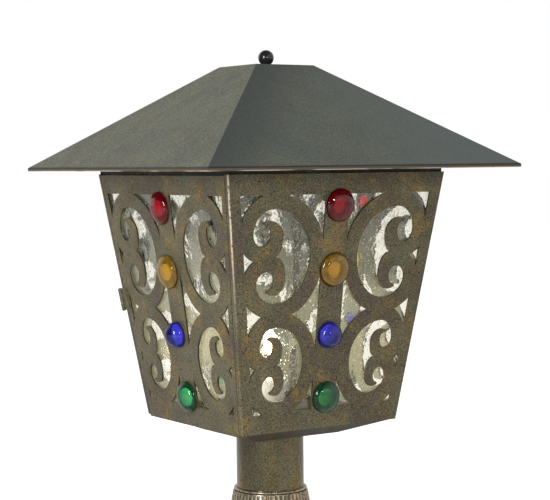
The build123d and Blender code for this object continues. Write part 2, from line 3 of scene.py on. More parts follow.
import bmesh
import bpy
import numpy as np
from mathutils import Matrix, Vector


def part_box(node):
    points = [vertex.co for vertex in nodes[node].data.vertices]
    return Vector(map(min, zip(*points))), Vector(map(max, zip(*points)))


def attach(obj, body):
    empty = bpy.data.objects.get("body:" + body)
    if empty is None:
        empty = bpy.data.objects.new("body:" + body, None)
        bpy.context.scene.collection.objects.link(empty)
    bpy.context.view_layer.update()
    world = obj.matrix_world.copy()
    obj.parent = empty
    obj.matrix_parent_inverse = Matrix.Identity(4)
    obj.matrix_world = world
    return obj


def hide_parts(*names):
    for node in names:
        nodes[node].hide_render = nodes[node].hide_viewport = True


# A post top lantern: a hipped sheet-metal roof over four pierced and glazed panels, on a tube
# and a fluted collar that slip over a post. The script goes from the roof down to the collar,
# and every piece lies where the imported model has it. Metres, +Z up, front -Y, door -X.

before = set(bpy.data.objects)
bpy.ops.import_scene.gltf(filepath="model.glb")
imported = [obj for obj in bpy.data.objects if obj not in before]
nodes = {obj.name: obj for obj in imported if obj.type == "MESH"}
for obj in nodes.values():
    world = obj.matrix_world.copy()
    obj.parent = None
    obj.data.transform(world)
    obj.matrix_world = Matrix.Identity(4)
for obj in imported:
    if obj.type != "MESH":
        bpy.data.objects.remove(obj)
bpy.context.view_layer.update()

# ---------------------------------------------------------------- camera
# The photograph's view: a little under eye level, from the lantern's front left corner.
# It looks at the lantern's axis, which stands just left of the picture's middle.
CAMERA_TURN = math.radians(-33.341)
CAMERA_DISTANCE = 2.043
CAMERA_HEIGHT = 0.4342
CAMERA_PITCH = math.radians(-3.078)
CAMERA_ROLL = math.radians(-0.584)
CAMERA_LENS = 109.52
CAMERA_SENSOR = 36.0
CAMERA_SHIFT = 0.0128

camera = bpy.data.objects.new("photo_camera", bpy.data.cameras.new("photo_camera"))
camera.data.sensor_width = CAMERA_SENSOR
camera.data.sensor_fit = "HORIZONTAL"
camera.data.lens = CAMERA_LENS
camera.data.shift_x = CAMERA_SHIFT
flat_forward = np.array([-math.sin(CAMERA_TURN), math.cos(CAMERA_TURN), 0.0])
forward = flat_forward * math.cos(CAMERA_PITCH) + np.array([0, 0, math.sin(CAMERA_PITCH)])
right = np.array([math.cos(CAMERA_TURN), math.sin(CAMERA_TURN), 0.0])
upward = np.cross(right, forward)
rolled_right = right * math.cos(CAMERA_ROLL) + upward * math.sin(CAMERA_ROLL)
rolled_up = -right * math.sin(CAMERA_ROLL) + upward * math.cos(CAMERA_ROLL)
pose = np.eye(4)
pose[:3, :3] = np.column_stack([rolled_right, rolled_up, -forward])
pose[:3, 3] = -flat_forward * CAMERA_DISTANCE + np.array([0, 0, CAMERA_HEIGHT])
camera.matrix_world = pose.T
bpy.context.scene.collection.objects.link(camera)
bpy.context.scene.camera = camera
bpy.context.scene.view_settings.view_transform = "Standard"

# ---------------------------------------------------------------- roof
# The roof is one steel sheet folded into four slopes with a narrow hem, and a plate welded
# over its open top. Like every outer piece it has an antique enamel, mottled by a rag and
# speckled as fine as sand. The roof's is greyer than the body's, and its hem is rubbed bright
# in places. Its front slope also carries a painted sheen, bluer to the right, and painted shade
# beside the hip. The hem's fold has a painted shade line and its lower edge painted highlights.
CLOUD_SIZE = 0.075
DRIFT_SIZE = 0.041
PATCH_SIZE = 0.019
FLECK_SIZE = 0.0048
GRAIN_SIZE = 0.0016
GRAIN_TINTED = 0.28
GROUND_EDGE = (0.34, 0.66)
CLOUD_EDGES = {
    "ochre": ("drifts", (0.46, 0.66), (0.38, 0.64)),
    "verdigris": ("drifts", (0.54, 0.36), (0.40, 0.58)),
    "umber": ("clouds", (0.52, 0.38), (0.60, 0.42)),
}
PATCH_SHARE = 0.8
FLECK_SHARE = 0.2
# Fleck levels that break up the edges' wear and painted highlight.
WORN_AND_LIT_FLECKS = (0.34, 0.56)
SATIN_SPREAD = 0.24
ENAMEL_SPECULAR = 0.35
ENAMEL_RELIEF = 0.0002
RELIEF_STRENGTH = 0.3
# Colour of bare metal on edges that wear has reached, also used for the painted highlights on the
# bends and the collar lands.
RUBBED_METAL_AND_HIGHLIGHT = (0.66, 0.53, 0.42)


def new_finish(name):
    """Empty material: its node tree, its Principled shader and the Object coordinates."""
    finish = bpy.data.materials.new(name)
    finish.use_nodes = True
    tree = finish.node_tree
    shader = tree.nodes["Principled BSDF"]
    place = tree.nodes.new("ShaderNodeTexCoord").outputs["Object"]
    return finish, tree, shader, place


def maths(tree, operation, first, second=0.0):
    """One arithmetic step between sockets or numbers."""
    node = tree.nodes.new("ShaderNodeMath")
    node.operation = operation
    for socket, value in zip(node.inputs, (first, second)):
        if isinstance(value, bpy.types.NodeSocket):
            tree.links.new(value, socket)
        else:
            socket.default_value = value
    return node.outputs["Value"]


def product(tree, first, *others):
    """All the sockets or numbers multiplied."""
    for other in others:
        first = maths(tree, "MULTIPLY", first, other)
    return first


def smooth_step(tree, value, low, high):
    """0 at low, 1 at high, and a soft step between them, whichever of the two is larger."""
    node = tree.nodes.new("ShaderNodeMapRange")
    node.interpolation_type = "SMOOTHSTEP"
    node.inputs["From Min"].default_value = low
    node.inputs["From Max"].default_value = high
    tree.links.new(value, node.inputs["Value"])
    return node.outputs["Result"]


def coordinates(tree, place):
    """A point's x, y and z as three sockets."""
    split = tree.nodes.new("ShaderNodeSeparateXYZ")
    tree.links.new(place, split.inputs[0])
    return [split.outputs[axis] for axis in "XYZ"]


def noise(tree, place, size, detail=2.0, roughness=0.5, distortion=0.0):
    """Noise whose features are about as large as size, in metres."""
    node = tree.nodes.new("ShaderNodeTexNoise")
    node.inputs["Scale"].default_value = 1.0 / size
    node.inputs["Detail"].default_value = detail
    node.inputs["Roughness"].default_value = roughness
    node.inputs["Distortion"].default_value = distortion
    tree.links.new(place, node.inputs["Vector"])
    return node.outputs["Fac"]


def colour_mix(tree, first, second, blend="MIX"):
    """Mix node between two colours or colour sockets."""
    node = tree.nodes.new("ShaderNodeMix")
    node.data_type = "RGBA"
    node.blend_type = blend
    for socket, value in ((node.inputs[6], first), (node.inputs[7], second)):
        if isinstance(value, bpy.types.NodeSocket):
            tree.links.new(value, socket)
        else:
            socket.default_value = (*value, 1.0)
    return node


def blend_colours(tree, share, first, second):
    """The first colour where share is 0, and the second where it is 1."""
    node = colour_mix(tree, first, second)
    tree.links.new(share, node.inputs["Factor"])
    return node.outputs[2]


def rag_marks(tree, place, run):
    """Three soft noises, large to small, drawn out upright where run is below 1."""
    if run != 1.0:
        drawn = tree.nodes.new("ShaderNodeMapping")
        drawn.inputs["Scale"].default_value = (1.0, 1.0, run)
        tree.links.new(place, drawn.inputs["Vector"])
        place = drawn.outputs["Vector"]
    clouds = noise(tree, place, CLOUD_SIZE, 3.0, 0.55, 0.3)
    drifts = noise(tree, place, DRIFT_SIZE, 3.0, 0.6, 0.5)
    patches = noise(tree, place, PATCH_SIZE, 4.0, 0.65, 0.4)
    return clouds, drifts, patches


def speckled(tree, place, colour, contrast):
    """The colour under a fine grain: an overlay of noise that contrast spreads about one half."""
    node = tree.nodes.new("ShaderNodeTexNoise")
    node.inputs["Scale"].default_value = 1.0 / GRAIN_SIZE
    node.inputs["Detail"].default_value = 1.0
    tree.links.new(place, node.inputs["Vector"])
    tinted = colour_mix(tree, node.outputs["Fac"], node.outputs["Color"])
    tinted.inputs["Factor"].default_value = GRAIN_TINTED
    spread = tree.nodes.new("ShaderNodeVectorMath")
    spread.operation = "MULTIPLY_ADD"
    spread.inputs[1].default_value = (contrast,) * 3
    spread.inputs[2].default_value = (0.5 - 0.5 * contrast,) * 3
    tree.links.new(tinted.outputs[2], spread.inputs[0])
    grained = colour_mix(tree, colour, spread.outputs["Vector"], "OVERLAY")
    grained.inputs["Factor"].default_value = 1.0
    return grained.outputs[2]


def antique_enamel(name, coat, roughness, wear_and_highlight=None, layers=(), run=1.0, metallic=0.15):
    """Enamel: a ground of two colours, three ragged clouds of others, a fine grain, edges with wear
    and painted highlights.

    coat holds the linear colours and the shares of the clouds. wear_and_highlight, where given,
    returns how much wear and painted highlight an edge has. Each of layers pairs a function, which
    returns where a further colour lies over the enamel, with that colour. run below 1 draws the
    clouds out upright.
    """
    finish, tree, shader, place = new_finish(name)
    clouds, drifts, patches = rag_marks(tree, place, run)
    soft = {"clouds": clouds, "drifts": drifts}
    flecks = noise(tree, place, FLECK_SIZE, 3.0, 0.7)
    large, small = product(tree, patches, PATCH_SHARE), product(tree, flecks, FLECK_SHARE)
    ragged = maths(tree, "ADD", large, small)
    ground = smooth_step(tree, clouds, *GROUND_EDGE)
    colour = blend_colours(tree, ground, coat["dark"], coat["light"])
    for tint, (mark, soft_edge, ragged_edge) in CLOUD_EDGES.items():
        cloud = smooth_step(tree, soft[mark], *soft_edge)
        torn = smooth_step(tree, ragged, *ragged_edge)
        share = product(tree, cloud, torn, coat[tint + "_share"])
        colour = blend_colours(tree, share, colour, coat[tint])
    colour = speckled(tree, place, colour, coat["grain"])
    if wear_and_highlight is not None:
        worn_and_lit = product(tree, wear_and_highlight(tree, place), smooth_step(tree, flecks, *WORN_AND_LIT_FLECKS))
        colour = blend_colours(tree, worn_and_lit, colour, RUBBED_METAL_AND_HIGHLIGHT)
    for covered, layer_colour in layers:
        colour = blend_colours(tree, covered(tree, place), colour, layer_colour)
    tree.links.new(colour, shader.inputs["Base Color"])
    satin = product(tree, patches, SATIN_SPREAD)
    satin = maths(tree, "ADD", satin, roughness - SATIN_SPREAD / 2)
    tree.links.new(satin, shader.inputs["Roughness"])
    shader.inputs["Metallic"].default_value = metallic
    shader.inputs["Specular IOR Level"].default_value = ENAMEL_SPECULAR
    bump = tree.nodes.new("ShaderNodeBump")
    bump.inputs["Strength"].default_value = RELIEF_STRENGTH
    bump.inputs["Distance"].default_value = ENAMEL_RELIEF
    tree.links.new(flecks, bump.inputs["Height"])
    tree.links.new(bump.outputs["Normal"], shader.inputs["Normal"])
    return finish


def wear(piece, finish):
    """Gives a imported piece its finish."""
    piece.data.materials.clear()
    piece.data.materials.append(finish)


HEM_HEIGHT = 0.0040
HIP_SHADE_REACH = 0.11
hem_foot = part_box("roof_shell")[0].z
hem_head = hem_foot + HEM_HEIGHT


def hem_band(tree, place):
    """The upright hem, which is browner than the slopes: 1 below its head."""
    height = coordinates(tree, place)[2]
    return smooth_step(tree, height, hem_head + 0.0002, hem_head - 0.0002)


def hem_fold_shade(tree, place):
    """Painted shade: the dark line along the fold between slope and hem, near the hem's head on
    both sides.
    """
    height = coordinates(tree, place)[2]
    off = maths(tree, "ABSOLUTE", maths(tree, "SUBTRACT", height, hem_head))
    return product(tree, smooth_step(tree, off, 0.0013, 0.0006), 0.9)


def hem_edge_wear_and_highlight(tree, place):
    """The sheet's cut edge, with bare metal in places and painted highlights along it: the hem's
    lowest millimetre, times a noise.
    """
    height = coordinates(tree, place)[2]
    low = smooth_step(tree, height, hem_foot + 0.0010, hem_foot + 0.0005)
    return product(tree, low, smooth_step(tree, noise(tree, place, 0.05, 2.0), 0.38, 0.58))


def painted_hip_shade(tree, place):
    """Painted shade: darker on the front slope beside the hip over the door's free edge, where x
    equals y.
    """
    x, y = coordinates(tree, place)[:2]
    off = maths(tree, "SUBTRACT", x, y)
    front = smooth_step(tree, off, 0.0002, 0.0012)
    reach = smooth_step(tree, off, HIP_SHADE_REACH, 0.0)
    fade = product(tree, reach, smooth_step(tree, y, 0.0, -0.02))
    return product(tree, front, fade, 0.75)


def front_slope_sheen(tree, place):
    """Painted sheen: bluer and paler on the front slope, where y is below minus the size of x, and
    most to the right.
    """
    x, y = coordinates(tree, place)[:2]
    past_hips = maths(tree, "ADD", y, maths(tree, "ABSOLUTE", x))
    to_the_right = maths(tree, "ADD", smooth_step(tree, x, -0.06, 0.20), 0.7)
    return product(tree, smooth_step(tree, past_hips, 0.003, 0.0), to_the_right, 0.5)


ROOF_COAT = {
    "dark": (0.094, 0.100, 0.064),
    "light": (0.118, 0.122, 0.076),
    "ochre": (0.130, 0.116, 0.066),
    "ochre_share": 0.3,
    "verdigris": (0.080, 0.100, 0.082),
    "verdigris_share": 0.6,
    "umber": (0.072, 0.068, 0.058),
    "umber_share": 0.3,
    "grain": 2.1,
}
# Painted sheen: the paler blue-grey laid over the front slope.
PAINTED_SHEEN_BLUE_GREY = (0.112, 0.136, 0.136)
# Painted shade: the darker colour beside the front slope's hip.
PAINTED_HIP_SHADE = (0.040, 0.048, 0.046)
HEM_BRONZE = (0.085, 0.066, 0.040)
# Painted shade along the hem's fold.
FOLD_SHADE_BLACK = (0.014, 0.012, 0.009)
# Bare metal and painted highlight on the hem's lower edge.
BARE_EDGE_AND_HIGHLIGHT = (0.50, 0.44, 0.36)
roof_layers = [
    (front_slope_sheen, PAINTED_SHEEN_BLUE_GREY),
    (painted_hip_shade, PAINTED_HIP_SHADE),
    (hem_band, HEM_BRONZE),
    (hem_fold_shade, FOLD_SHADE_BLACK),
    (hem_edge_wear_and_highlight, BARE_EDGE_AND_HIGHLIGHT),
]
roof_enamel = antique_enamel("roof_enamel", ROOF_COAT, 0.50, layers=roof_layers)
wear(nodes["roof_shell"], roof_enamel)
wear(nodes["roof_cap"], roof_enamel)

# ---------------------------------------------------------------- finial ball
# A small turned ball on a short neck, in gloss black enamel, closes the rod over the roof.
# Its gloss varies a little, as on any brushed enamel.
FINIAL_BLACK = (0.012, 0.013, 0.012)
ball_black, tree, shader, place = new_finish("finial_black")
shader.inputs["Base Color"].default_value = (*FINIAL_BLACK, 1.0)
gloss = product(tree, noise(tree, place, 0.004, 3.0), 0.18)
tree.links.new(maths(tree, "ADD", gloss, 0.10), shader.inputs["Roughness"])
wear(nodes["finial_ball"], ball_black)

# ---------------------------------------------------------------- panels, neck and pan
# Four pierced steel plates on corner angles, with a neck frame over them and a pan under them.
# The neck frame is painted nearly black and the pan dark, as painted shade under the roof and
# under the body. The bends beside the door are rubbed down to copper-coloured metal and carry
# a painted highlight, brightest near their heads, and inside the plates are a paler grey-green.
PANEL_SHEET = 0.0025
# How far in from both faces the bends' wear and painted highlight reach, and the heights below the
# head over which the highlight fades.
BEND_WIDTHS = (0.0023, 0.0009)
BEND_FADE = (0.17, 0.05)
plate_low, plate_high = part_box("right_panel")
body_foot, body_head = plate_low.z, plate_high.z
head_half = plate_high.x
LEAN = (head_half - plate_low.x - PANEL_SHEET) / (body_head - body_foot)


def face_depths(tree, place):
    """How far a point lies in from the body's outer faces, across x and across y.

    The body's half width at a height is its half width at the head plus the lean times the
    height above the head; a depth is that less the size of x or of y.
    """
    x, y, z = coordinates(tree, place)
    reach = product(tree, maths(tree, "SUBTRACT", z, body_head), LEAN)
    half = maths(tree, "ADD", reach, head_half)
    return [maths(tree, "SUBTRACT", half, maths(tree, "ABSOLUTE", axis)) for axis in (x, y)]


def bend_wear_and_highlight(tree, place):
    """Painted highlight and wear on the two bends beside the door, most of all near their heads:
    both depths small.
    """
    x, _, z = coordinates(tree, place)
    farther = maths(tree, "MAXIMUM", *face_depths(tree, place))
    bend = smooth_step(tree, farther, *BEND_WIDTHS)
    door_side = smooth_step(tree, x, 0.0, -0.02)
    high = smooth_step(tree, z, *(body_head - below for below in BEND_FADE))
    high = maths(tree, "MINIMUM", maths(tree, "ADD", 0.07, high), 1.0)
    return product(tree, bend, door_side, high)


def cut_edge_shade(tree, place):
    """The thickness of the sheet, nearly black round every opening, for dark cut steel and painted
    shade: the smaller depth over 0.
    """
    depths = face_depths(tree, place)
    off_bend = smooth_step(tree, maths(tree, "MAXIMUM", *depths), 0.0035, 0.0045)
    cut = smooth_step(tree, maths(tree, "MINIMUM", *depths), 0.0002, 0.0007)
    return product(tree, cut, off_bend, 0.9)


def inner_side(tree, place):
    """1 on the panels' inner side, and 0 on their outer side and in the thickness of the sheet."""
    nearer = maths(tree, "MINIMUM", *face_depths(tree, place))
    return smooth_step(tree, nearer, PANEL_SHEET * 0.85, PANEL_SHEET)


BODY_COAT = {
    "dark": (0.080, 0.069, 0.036),
    "light": (0.124, 0.106, 0.060),
    "ochre": (0.215, 0.136, 0.036),
    "ochre_share": 0.7,
    "verdigris": (0.086, 0.088, 0.058),
    "verdigris_share": 0.45,
    "umber": (0.092, 0.066, 0.050),
    "umber_share": 0.6,
    "grain": 1.9,
}
# Painted shade: the neck frame's coat is nearly black, for the shade under the roof's eave.
NECK_SHADE_COAT = dict(
    BODY_COAT, dark=(0.012, 0.011, 0.009), light=(0.022, 0.020, 0.015), ochre_share=0.1
)
# Painted shade: the pan's coat is about half as light as the panels', for the shade under the body.
PAN_SHADE_COAT = dict(
    BODY_COAT, dark=(0.044, 0.038, 0.020), light=(0.070, 0.060, 0.034), ochre=(0.11, 0.07, 0.02)
)
# Dark cut steel and painted shade in the openings' edges.
CUT_SHADE_BLACK = (0.016, 0.013, 0.009)
# The plates' inner side: a paler grey-green than the outside.
INSIDE_GREY_GREEN = (0.31, 0.34, 0.26)
panel_layers = [(cut_edge_shade, CUT_SHADE_BLACK), (inner_side, INSIDE_GREY_GREEN)]
panel_enamel = antique_enamel("panel_enamel", BODY_COAT, 0.42, bend_wear_and_highlight, panel_layers)
frame_enamel = antique_enamel("frame_enamel", BODY_COAT, 0.45)
hinge_enamel = antique_enamel("hinge_enamel", BODY_COAT, 0.36)
for name, node in nodes.items():
    if name.endswith("_panel"):
        wear(node, panel_enamel)
    elif name.startswith("corner_angle"):
        wear(node, frame_enamel)
    elif name.startswith("hinge_"):
        wear(node, hinge_enamel)
wear(nodes["neck_frame"], antique_enamel("neck_shade_enamel", NECK_SHADE_COAT, 0.55))
wear(nodes["bottom_pan"], antique_enamel("pan_shade_enamel", PAN_SHADE_COAT, 0.68))

# ---------------------------------------------------------------- window glass
# Behind each panel lies a sheet of clear water glass, flat on its outer side and rippled on
# its inner side. Each sheet is drawn in its panel's own plane and then turned to its side.
# Patches of upright dark flecks in the glass are painted dark refractions, in place of the
# shade that the glass bends into view.
RIPPLE_HEIGHT = 0.00010
RIPPLE_LENGTHS = (0.008, 0.022)
RIPPLE_WAVES = 26
RIPPLE_BEND = 1.5
RIPPLE_BEND_PACE = 0.37
RIPPLE_RISE = 25
GLASS_STEP = 0.0016
GLASS_CREASE = math.radians(50)
QUARTER_TURNS = {"front": 0, "right": 1, "back": 2, "door": 3}


def side_axes(side):
    """Origin at the head of a panel's outer face, and its axes: across, up the slope, outwards.

    The front panel's are tilted by its lean, and a quarter turn each makes the other sides'.
    """
    angle = QUARTER_TURNS[side] * math.pi / 2
    turn = np.array([
        [math.cos(angle), -math.sin(angle), 0],
        [math.sin(angle), math.cos(angle), 0],
        [0, 0, 1],
    ])
    tilt = math.atan(LEAN)
    across = turn @ [1, 0, 0]
    up = turn @ [0, -math.sin(tilt), math.cos(tilt)]
    out = turn @ [0, -math.cos(tilt), -math.sin(tilt)]
    return turn @ [0, -head_half, body_head], np.array([across, up, out])


def node_points(name):
    """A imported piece's vertices."""
    mesh = nodes[name].data
    points = np.empty(len(mesh.vertices) * 3)
    mesh.vertices.foreach_get("co", points)
    return points.reshape(-1, 3)


def on_face(points, side):
    """Points in a panel's own axes: their offsets from its origin along each axis."""
    origin, axes = side_axes(side)
    return (points - origin) @ axes.T


def off_face(points, side):
    """Points from a panel's own axes back into the lantern's: the reverse of on_face."""
    origin, axes = side_axes(side)
    return points @ axes + origin


def body_of_side(side):
    """The door's pieces swing with it; the others stay."""
    return "door" if side == "door" else "lantern_body"


def new_piece(name, mesh, crease):
    """Smooth-shaded piece of a mesh, with edges sharper than crease left sharp."""
    mesh.polygons.foreach_set("use_smooth", np.ones(len(mesh.polygons), bool))
    mesh.set_sharp_from_angle(angle=crease)
    piece = bpy.data.objects.new(name, mesh)
    bpy.context.scene.collection.objects.link(piece)
    return piece


def rippled_sheet(side, seed):
    """The sheet's rippled and flat sides as two grids of one outline, in the panel's axes.

    A ripple is a sine along its own direction, pushed back and forth by a slower sine, and
    as high as it is long; their sum is brought to the ripple height and dies out at the edges.
    """
    corners = on_face(node_points(side + "_glass"), side)
    foot, head = corners[:, 1].min(), corners[:, 1].max()
    inner, outer = corners[:, 2].min(), corners[:, 2].max()
    foot_half = corners[corners[:, 1] < foot + 1e-4, 0].max()
    top_half = corners[corners[:, 1] > head - 1e-4, 0].max()
    rows = int((head - foot) / GLASS_STEP)
    columns = int(2 * top_half / GLASS_STEP)
    v, u = np.meshgrid(np.linspace(0, 1, rows), np.linspace(-1, 1, columns), indexing="ij")
    y = foot + v * (head - foot)
    x = u * (foot_half + v * (top_half - foot_half))
    dice = np.random.default_rng(seed)
    angles = dice.uniform(0, math.pi, RIPPLE_WAVES)
    lengths = np.exp(dice.uniform(*np.log(RIPPLE_LENGTHS), RIPPLE_WAVES))
    phases = dice.uniform(0, 2 * math.pi, RIPPLE_WAVES)
    ripple = np.zeros_like(x)
    for angle, length, phase in zip(angles, lengths, phases):
        run = (x * math.cos(angle) + y * math.sin(angle)) * 2 * math.pi / length
        bend = RIPPLE_BEND * np.sin(run * RIPPLE_BEND_PACE + 2 * phase)
        ripple += length * np.sin(run + phase + bend)
    ripple *= RIPPLE_HEIGHT / np.abs(ripple).max()
    from_edge = np.minimum(1 - np.abs(u), np.minimum(v, 1 - v))
    edge = np.clip(from_edge * RIPPLE_RISE, 0, 1)
    back = np.full_like(x, inner) + (RIPPLE_HEIGHT + ripple) * edge
    front = np.full_like(x, outer)
    return np.stack([x, y, back], axis=-1), np.stack([x, y, front], axis=-1)


def sheet_mesh(name, under, over):
    """Two grids with one outline, joined by a band of faces round their edges."""
    rows, columns = under.shape[:2]
    index = np.arange(rows * columns).reshape(rows, columns)
    lower = np.stack([index[:-1, :-1], index[1:, :-1], index[1:, 1:], index[:-1, 1:]], axis=-1)
    lower = lower.reshape(-1, 4)
    upper = lower[:, ::-1] + rows * columns
    ring = np.concatenate([index[0], index[1:, -1], index[-1, -2::-1], index[-2:0:-1, 0]])
    following = np.roll(ring, -1)
    band = [ring, following, following + rows * columns, ring + rows * columns]
    mesh = bpy.data.meshes.new(name)
    points = np.concatenate([under.reshape(-1, 3), over.reshape(-1, 3)])
    mesh.from_pydata(points, [], np.concatenate([lower, upper, np.stack(band, axis=-1)]))
    return new_piece(name, mesh, GLASS_CREASE)


def clear_glass(name, tint, roughness, sheen=(1.0, 1.0, 1.0)):
    """Clear glass: tint colours what is seen through it, and sheen what it mirrors face on."""
    finish, tree, shader, place = new_finish(name)
    shader.inputs["Base Color"].default_value = (*tint, 1.0)
    shader.inputs["Roughness"].default_value = roughness
    shader.inputs["IOR"].default_value = 1.50
    shader.inputs["Transmission Weight"].default_value = 1.0
    shader.inputs["Specular Tint"].default_value = (*sheen, 1.0)
    return finish, tree, shader, place


def pits(tree, place, spacing, reach):
    """Round pits scattered spacing apart: 0 at a pit's middle, 1 from reach away, in metres."""
    node = tree.nodes.new("ShaderNodeTexVoronoi")
    node.inputs["Scale"].default_value = 1.0 / spacing
    tree.links.new(place, node.inputs["Vector"])
    return smooth_step(tree, node.outputs["Distance"], 0.0, reach / spacing)


GLASS_TINT = (0.92, 0.905, 0.835)
DARK_REFRACTION_TINT = (0.03, 0.045, 0.042)
PEBBLE_SIZE = 0.0085
PEBBLE_HEIGHT = 0.00017
PIT_SPACING = 0.0042
PIT_REACH = 0.0010
PIT_DEPTH = 0.00020
STREAK_SIZE = 0.0075
STREAK_RUN = 0.45
STREAK_PATCH_SIZE = 0.034
UPPER_GLASS = (0.24, 0.32)
DOOR_GLASS = (-0.08, -0.11)


def painted_dark_refractions(tree, place):
    """Painted dark refractions: upright dark flecks in patches, in the sheets' upper half, and
    densest on the door's.
    """
    streaks = tree.nodes.new("ShaderNodeMapping")
    streaks.inputs["Scale"].default_value = (1.0, 1.0, STREAK_RUN)
    tree.links.new(place, streaks.inputs["Vector"])
    streaked = noise(tree, streaks.outputs["Vector"], STREAK_SIZE, 2.5, 0.65, 0.8)
    x, _, z = coordinates(tree, place)
    fleck = smooth_step(tree, streaked, 0.52, 0.56)
    patch = smooth_step(tree, noise(tree, place, STREAK_PATCH_SIZE, 1.0), 0.50, 0.58)
    upper = smooth_step(tree, z, *UPPER_GLASS)
    on_door = maths(tree, "ADD", smooth_step(tree, x, *DOOR_GLASS), 0.3)
    return product(tree, product(tree, fleck, patch), product(tree, upper, on_door))


water_glass, tree, shader, place = clear_glass("water_glass", GLASS_TINT, 0.0)
pebbles = product(tree, noise(tree, place, PEBBLE_SIZE, 2.0, 0.45, 0.5), PEBBLE_HEIGHT)
pitted = product(tree, pits(tree, place, PIT_SPACING, PIT_REACH), PIT_DEPTH)
bump = tree.nodes.new("ShaderNodeBump")
bump.inputs["Distance"].default_value = 1.0
tree.links.new(maths(tree, "ADD", pebbles, pitted), bump.inputs["Height"])
tree.links.new(bump.outputs["Normal"], shader.inputs["Normal"])
refraction_flecked = blend_colours(tree, painted_dark_refractions(tree, place), GLASS_TINT, DARK_REFRACTION_TINT)
tree.links.new(refraction_flecked, shader.inputs["Base Color"])
for seed, side in enumerate(QUARTER_TURNS):
    under, over = rippled_sheet(side, seed)
    window = sheet_mesh(side + "_window", off_face(under, side), off_face(over, side))
    window.data.materials.append(water_glass)
    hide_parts(side + "_glass")
    window.visible_shadow = False
    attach(window, body_of_side(side))

# ---------------------------------------------------------------- jewels
# Four cast glass domes stand down each panel's middle bar: red, amber, blue and green. Each
# is bedded on a thin ring of dark sealant round a hole that lets the lamp shine through it,
# so its heart is bright, its back dull and its rim dark. The dark rim is sealant round the
# foot and also painted shade.
BED_THICKNESS = 0.0003
BED_CLEARANCE = 0.00005
BED_MARGIN = 0.0006
HOLE_RADIUS = 0.0085
FOOT_BEVEL = 0.0004
JEWEL_RIM = 0.0015
JEWEL_COLUMNS = 128
JEWEL_ROWS = 28
JEWEL_CREASE = math.radians(38)
JEWEL_SHEEN = (0.8, 0.8, 0.8)
# Where the dark rim of sealant and painted shade begins, as a share of the radius.
DARK_RIM = 0.80
JEWEL_TINTS = {
    "red": (0.72, 0.010, 0.028),
    "amber": (0.84, 0.47, 0.045),
    "blue": (0.045, 0.045, 0.55),
    "green": (0.06, 0.42, 0.14),
}
BACK_GREYS = {"red": 0.13, "amber": 0.22, "blue": 0.16, "green": 0.08}


def ramp(tree, factor, stops):
    """Colour ramp from (position, colour) stops."""
    node = tree.nodes.new("ShaderNodeValToRGB")
    while len(node.color_ramp.elements) < len(stops):
        node.color_ramp.elements.new(0.5)
    for element, (position, colour) in zip(node.color_ramp.elements, stops):
        element.position = position
        element.color = (*colour, 1.0)
    tree.links.new(factor, node.inputs["Fac"])
    return node.outputs["Color"]


def mottled(name, size, darker, lighter, roughness):
    """Matt or satin material between two colours, mottled by a noise of that size."""
    finish, tree, shader, place = new_finish(name)
    mottle = ramp(tree, noise(tree, place, size, 3.0), [(0.3, darker), (0.7, lighter)])
    tree.links.new(mottle, shader.inputs["Base Color"])
    shader.inputs["Roughness"].default_value = roughness
    return finish


def turned(radii, heights, middle, side):
    """A profile of radii and heights turned about a line square to a panel, through middle."""
    angles = np.linspace(0, 2 * math.pi, JEWEL_COLUMNS, endpoint=False)
    radii, heights = np.asarray(radii), np.asarray(heights)
    x = radii[:, None] * np.cos(angles)
    y = radii[:, None] * np.sin(angles)
    local = np.stack([x, y, np.broadcast_to(heights[:, None], x.shape)], axis=-1)
    return off_face(local + middle, side)


def turned_piece(name, points):
    """Closed piece over rings of points: neighbours make four-sided faces, equal ones join."""
    rows, columns = points.shape[:2]
    index = np.arange(rows * columns).reshape(rows, columns)
    index = np.concatenate([index, index[:, :1]], axis=1)
    faces = np.stack([index[:-1, :-1], index[:-1, 1:], index[1:, 1:], index[1:, :-1]], axis=-1)
    mesh = bpy.data.meshes.new(name)
    mesh.from_pydata(points.reshape(-1, 3), [], faces.reshape(-1, 4))
    work = bmesh.new()
    work.from_mesh(mesh)
    bmesh.ops.remove_doubles(work, verts=work.verts, dist=1e-6)
    bmesh.ops.recalc_face_normals(work, faces=work.faces)
    work.to_mesh(mesh)
    work.free()
    return new_piece(name, mesh, JEWEL_CREASE)


def dome_profile(radius, dome):
    """From the middle of the flat back, round its bevelled foot and rim, over a quarter ellipse."""
    sweep = np.linspace(0, math.pi / 2, JEWEL_ROWS)
    back_radii = [0, HOLE_RADIUS * 0.5, HOLE_RADIUS, radius * DARK_RIM, radius - FOOT_BEVEL]
    radii = [*back_radii, radius, *(radius * np.cos(sweep))]
    heights = [BED_THICKNESS] * len(back_radii) + [BED_THICKNESS + FOOT_BEVEL]
    heights += list(JEWEL_RIM + (dome - JEWEL_RIM) * np.sin(sweep))
    return radii, heights


def dome_parts(jewel, side, middle, radius):
    """Each face's material: 0 dome, 1 heart over the hole, 2 back, 3 the dark foot ring, a bead
    of sealing compound and painted shade.
    """
    centres = on_face(np.array([face.center for face in jewel.data.polygons]), side) - middle
    out = np.hypot(centres[:, 0], centres[:, 1])
    flat = centres[:, 2] < BED_THICKNESS + 1e-5
    parts = np.where(flat, np.where(out < HOLE_RADIUS, 1, 2), 0)
    parts[(centres[:, 2] < JEWEL_RIM) & (out > radius * DARK_RIM)] = 3
    return parts.astype(np.int32)


